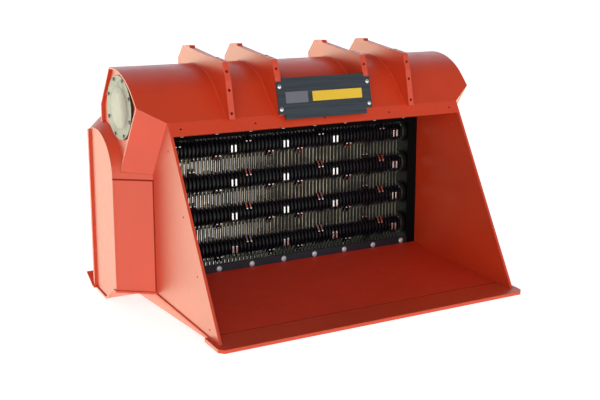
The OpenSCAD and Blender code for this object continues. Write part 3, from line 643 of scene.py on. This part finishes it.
knee_back_share = 0.9357
knee_down_share = 0.44
sign_down_share = 0.545
ear_size = Vector(ear_high) - Vector(ear_low)
ear_knee = Vector((0.0, ear_high[1] - knee_back_share * ear_size.y,
                   ear_high[2] - knee_down_share * ear_size.z))
ear_run = Vector((0.0, ear_low[1], ear_low[2])) - ear_knee
sign_lean = math.atan2(ear_run.y, ear_run.z) + math.pi
sign_place = (Matrix.Translation(ear_knee + sign_down_share * ear_run) @
              Matrix.Rotation(math.pi / 2 - sign_lean, 4, "X"))
sign_t = 0.008
panel_t = 0.002
panel_corner = 0.004
dress(coated("slate_sign", build_slate(), {}, mirror=0.4), "sign_plate")
grey_enamel = painted("grey_enamel", (100, 100, 115), (150, 150, 160), gloss=0.3, worn_and_lit_share=0.2, edge=0.001)
yellow_enamel = painted("yellow_enamel", (226, 184, 40), (240, 215, 120), gloss=0.3, worn_and_lit_share=0.2, edge=0.001)
for name, look, left, width, height in (("small_panel", grey_enamel, -0.269, 0.150, 0.066),
                                        ("big_panel", yellow_enamel, -0.088, 0.345, 0.058)):
    shape = bmesh.new()
    gather(shape, flat_panel(width, height, panel_t, panel_corner),
           sign_place @ Matrix.Translation((left, 0.0, sign_t)))
    finished(name, shape, look, "bucket", "enamel", "sign_panels")


# Sign screws: four cold-forged screws with round heads, on washers, go through the sign plate into the
# two inner ears. They are bright zinc plated.
def dome(radius, height):
    """The profile of a round head, from its rim to its crown."""
    steps = [math.pi / 2 * n / dome_steps for n in range(dome_steps)]
    return [(radius * math.cos(step), height * math.sin(step)) for step in steps] + [(0.0, height)]


def round_bolt(washer_r, washer_t, head_r, head_h):
    """A round head on its washer, standing on the origin."""
    head = [(radius, washer_t + height) for radius, height in dome(head_r, head_h)]
    return turned([(0.0, 0.0), (washer_r, 0.0), (washer_r, washer_t * washer_wall_share),
                   (washer_r * 0.96, washer_t)] + head, bolt_sides)


dome_steps = 6
bright_zinc = metal("bright_zinc", (214, 218, 226), (160, 165, 175), (245, 245, 248), gloss=0.28, stained=0.3)
screw_span_share = 0.3
screw_span = screw_span_share * ear_run.length
shape = bmesh.new()
gather(shape, round_bolt(washer_r=0.012, washer_t=0.0015, head_r=0.009, head_h=0.0035),
       *[sign_place @ Matrix.Translation((x, y, sign_t)) for x in ear_places[1:3]
         for y in (-screw_span, screw_span)])
finished("sign_screws", shape, bright_zinc, "bucket", "zinc", "sign_bolts")


# Comb: laser-cut scalloped steel bars between two bolted rails, with strips and bearing plates at the ends.
# The bars are dipped in hard gloss black. Their flanks are painted pale, most at the left, as a painted sheen
# of the light behind them, and their front edges carry a painted blue-grey highlight.
# Strips, plates and top rail are sprayed matt black, and the bottom rail navy.
def build_bar_paint():
    """Comb finish: gloss black with a painted blue-grey highlight on its edges, a pale painted sheen on the bars'
    flanks that fades to the right and near the foot, and dull behind their front edges.
    """
    # The blue-grey edge colour is a painted highlight on the bars' front edges.
    look = painted("bar_paint", (8, 8, 14), (92, 99, 142), gloss=0.3, worn_and_lit_share=0.9, edge=0.0016, mirror=0.3)
    tree = look.node_tree
    shader = tree.nodes["Principled BSDF"]
    black = shader.inputs["Base Color"].links[0].from_socket
    place = add(tree, "TexCoord").outputs["Object"]
    along, inward, up = add(tree, "SeparateXYZ", {0: place}).outputs
    # The pale colour on the flanks is a painted sheen of the light from behind, fading to the right and near the
    # foot.
    front = ranged(tree, inward, bar_front_y, bar_front_y + front_blur, 0.0, 1.0)
    depth = math_of(tree, "SUBTRACT", inward, bar_front_y)
    reach = ranged(tree, along, -inner_w, 0.0, sheen_reach, sheen_reach / 2)
    back = ranged(tree, math_of(tree, "SUBTRACT", depth, reach), 0.0, back_blur, 1.0, 0.0)
    above = ranged(tree, up, sheen_foot_z, sheen_foot_z + foot_blur, 0.12, 1.0)
    patchy = ranged(tree, noise(tree, place, scale=7.0, detail=4.0, roughness=0.6), 0.38, 0.56, 0.35, 1.0)
    across = math_of(tree, "MULTIPLY", front, back)
    faded = ranged(tree, along, *fade_run, 1.0, 0.35)
    brightened = math_of(tree, "MULTIPLY", math_of(tree, "MULTIPLY", across, faded),
                     math_of(tree, "MULTIPLY", above, patchy))
    gloss = ranged(tree, inward, bar_front_y - dull_blur, bar_front_y, 0.28, 0.95)
    tree.links.new(blended(tree, brightened, black, linear(*painted_sheen_pale)), shader.inputs["Base Color"])
    tree.links.new(gloss, shader.inputs["Roughness"])
    return look


# Where the painted sheen on the bars' flanks starts, how far it reaches, and its pale colour.
bar_front_in = 0.1055
painted_sheen_pale = (236, 218, 206)
bar_front_y = mouth_y + bar_front_in
sheen_reach = 0.016
sheen_foot_z = 0.2
front_blur = 0.0015
back_blur = 0.002
foot_blur = 0.06
dull_blur = 0.02
fade_run = (0.25, 0.7)
navy_paint = painted("navy_paint", (20, 30, 46), (70, 80, 96), gloss=0.34, edge=0.002)
matt_black = painted("matt_black", (8, 8, 11), (40, 40, 50), gloss=0.75, edge=0.002, mirror=0.05)
dress(build_bar_paint(), "comb_bars")
dress(matt_black, "frame_strips", "top_rail", "bearing_plates")
dress(navy_paint, "bottom_rail")


# Rail bolts: large cold-forged bolts with round heads, on washers, hold both rails to the bucket.
# They are blue zinc plated, and a little dusty.
rail_bolt_in = 0.047
rail_bolt_step = 0.230
rail_bolt_up = 0.020
rail_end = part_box("bottom_rail")[1][0]
rail_bolts_low, rail_bolts_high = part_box("rail_bolts")
rail_bolt_count = round((rail_bolts_high[0] - rail_bolts_low[0]) / rail_bolt_step) + 1
rail_heights = (mouth_z + rail_bolt_up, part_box("beam_floor")[0][2] - rail_bolt_up)
blue_zinc = metal("blue_zinc", (206, 216, 238), (150, 160, 180), (245, 247, 252), gloss=0.34, metallic=0.45,
                  stained=0.3)
shape = bmesh.new()
gather(shape, round_bolt(washer_r=0.0180, washer_t=0.0020, head_r=0.0155, head_h=0.0058),
       *[facing((rail_end - rail_bolt_in - n * rail_bolt_step, mouth_y, z), (0, -1, 0))
         for n in range(rail_bolt_count) for z in rail_heights])
finished("rail_bolts_round", shape, blue_zinc, "bucket", "zinc", "rail_bolts")


# Bearing housings: iron castings in dark primer, turned on the front, which has a chamfer and a seal
# groove round the shaft. Four bright hex bolts hold each to its bearing plate.
cast_primed = metal("cast_primed", (34, 33, 33), (20, 20, 20), (84, 84, 84), gloss=0.5, metallic=0.2,
                    stained=0.5, depth=0.35)
housing_r = 0.074
housing_l = 0.034
housing_sides = 48
housing_chamfer = 0.006
groove_r = 0.050
groove_wall = 0.002
groove_w = 0.004
groove_d = 0.004
bore_r = 0.0405
bore_sunk = 0.002
groove_floor = housing_l - groove_d
housing = turned([(bore_r, 0.0), (housing_r, 0.0), (housing_r, housing_l - housing_chamfer),
                  (housing_r - housing_chamfer, housing_l), (groove_r, housing_l),
                  (groove_r - groove_wall, groove_floor), (groove_r - groove_wall - groove_w, groove_floor),
                  (bore_r, housing_l - bore_sunk)], housing_sides, closed=True)
plate_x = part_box("bearing_housings")[1][0]
housing_seats = [facing((side * plate_x, axis.y, axis.z), (-side, 0, 0))
                 for side in (-1, 1) for axis in drum_axes]
shape = bmesh.new()
gather(shape, housing, *housing_seats)
finished("housings_turned", shape, cast_primed, "bucket", "cast", "bearing_housings")
housing_bolt_count = 4
housing_pcd_r = 0.058
ring = bolt_ring(housing_bolt_count, housing_pcd_r, housing_l)
shape = bmesh.new()
gather(shape, hex_bolt(washer_r=0.009, washer_t=0.0012, head_r=0.008, head_h=0.0058),
       *[seat @ turn for seat in housing_seats for turn in ring])
finished("housing_bolts_hex", shape, bright_zinc, "bucket", "zinc", "housing_bolts")


# Drums: each is a steel core tube with flame-cut blades welded on in pairs astride the comb bars, painted
# gloss black. A hard steel tip with rounded ends is welded on each end of each blade, and is worn bright.
# Stations count comb bars from the middle to both sides, and each turns its blades by its own angle.
# The blue-grey edge colour of this black is a painted highlight on the edges of cores and blades.
black_gloss = painted("black_gloss", (10, 11, 17), (92, 98, 136), gloss=0.26, worn_and_lit_share=0.5, edge=0.0015,
                      peel=0.03)
bright_steel = metal("bright_steel", (222, 226, 236), (186, 188, 194), (250, 250, 250), gloss=0.2,
                     stained=0.2, depth=0.03)
comb_pitch = 0.0265
station_bars = (0, 4, 10, 14, 18, 24, 28, 32)
station_angles = (0, -36, 36, 0, -36, 72, 36, 0)
tip_r = 0.1
tip_h = 0.054
tip_d = 0.009
tip_w = 0.012
tip_round = tip_d * 0.85
tip_chamfer = 0.0012
sharp_angle = 1.2


def hard_tip():
    """One tip: a small block across the blade's end, its outer corners rounded."""
    part = block((0.0, tip_r - tip_d / 2, 0.0), (tip_w, tip_d, tip_h))
    outer = [edge for edge in part.edges if all(vert.co.y > tip_r - tip_d / 2 for vert in edge.verts)
             and abs(edge.verts[0].co.x - edge.verts[1].co.x) > tip_w / 2]
    bevel(part, outer, tip_round, segments=4)
    long = [edge for edge in part.edges if edge.is_manifold and edge.calc_face_angle() > sharp_angle]
    bevel(part, long, tip_chamfer)
    return part


blade_ends = []
for bars, angle in zip(station_bars, station_angles):
    for side in (-1, 1) if bars else (1,):
        for half in (-0.5, 0.5):
            blade = Matrix.Translation(((side * bars + half) * comb_pitch, 0, 0))
            blade_ends += [blade @ Matrix.Rotation(math.radians(-angle) + turn, 4, "X")
                           for turn in (0.0, math.pi)]
for n, axis in enumerate(drum_axes, 1):
    body = f"drum_{n}"
    dress(black_gloss, body + "_core", body + "_blades")
    shape = bmesh.new()
    gather(shape, hard_tip(), *[Matrix.Translation(axis) @ end for end in blade_ends])
    finished(body + "_hard_tips", shape, bright_steel, body, "hard_tip", body + "_tips", smooth=10)


# Chain drive and motors: oiled roller chains run on milled steel sprockets inside the drive cases.
# The motors are iron castings bolted inside the beam, with ground steel shafts. The hose block on the
# beam's back is milled from bar.
oiled_steel = metal("oiled_steel", (96, 92, 88), (50, 46, 42), (170, 168, 164), gloss=0.34, stained=0.7)
machined = metal("machined_steel", (168, 170, 172), (130, 128, 124), (215, 216, 218), gloss=0.26)
dress(oiled_steel, "drive_chains", *[f"drum_{n}_sprockets" for n in range(1, 5)])
dress(cast_primed, "motors", "motor_flanges")
dress(machined, "motor_shaft_left", "motor_shaft_right", "hose_block")


# Hose ports: three turned steel unions, zinc plated, are screwed into the block on the beam's back.
# Each has a hex collar, a thread for the hose's nut, and an open bore.
ports_low, ports_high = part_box("hose_ports")
port_r = (ports_high[2] - ports_low[2]) / 2
port_l = ports_high[1] - ports_low[1]
port_z = (ports_low[2] + ports_high[2]) / 2
port_places = (-0.08, 0.0, 0.08)
port_sides = 32
collar = port_l * 0.3
thread_r = port_r * 0.78
thread_step = 0.0025
thread_d = 0.001
root_r = thread_r - thread_d
relief = 0.002
port_bore_r = 0.012
port_floor = 0.004
ridges = int((port_l - collar - 2 * relief) / thread_step)
thread = []
for n in range(ridges):
    low = collar + relief + n * thread_step
    thread += [(thread_r, low), (root_r, low + thread_step / 2)]
union = turned([(0.0, 0.0), (root_r, 0.0), (root_r, collar)] + thread +
               [(root_r - thread_d, port_l), (port_bore_r, port_l), (port_bore_r, port_floor),
                (0.0, port_floor)], port_sides)
gather(union, hexagon(port_r, 0.0, collar))
shape = bmesh.new()
gather(shape, union, *[facing((x, ports_low[1], port_z), (0, 1, 0)) for x in port_places])
finished("hose_unions", shape, bright_zinc, "bucket", "zinc", "hose_ports")
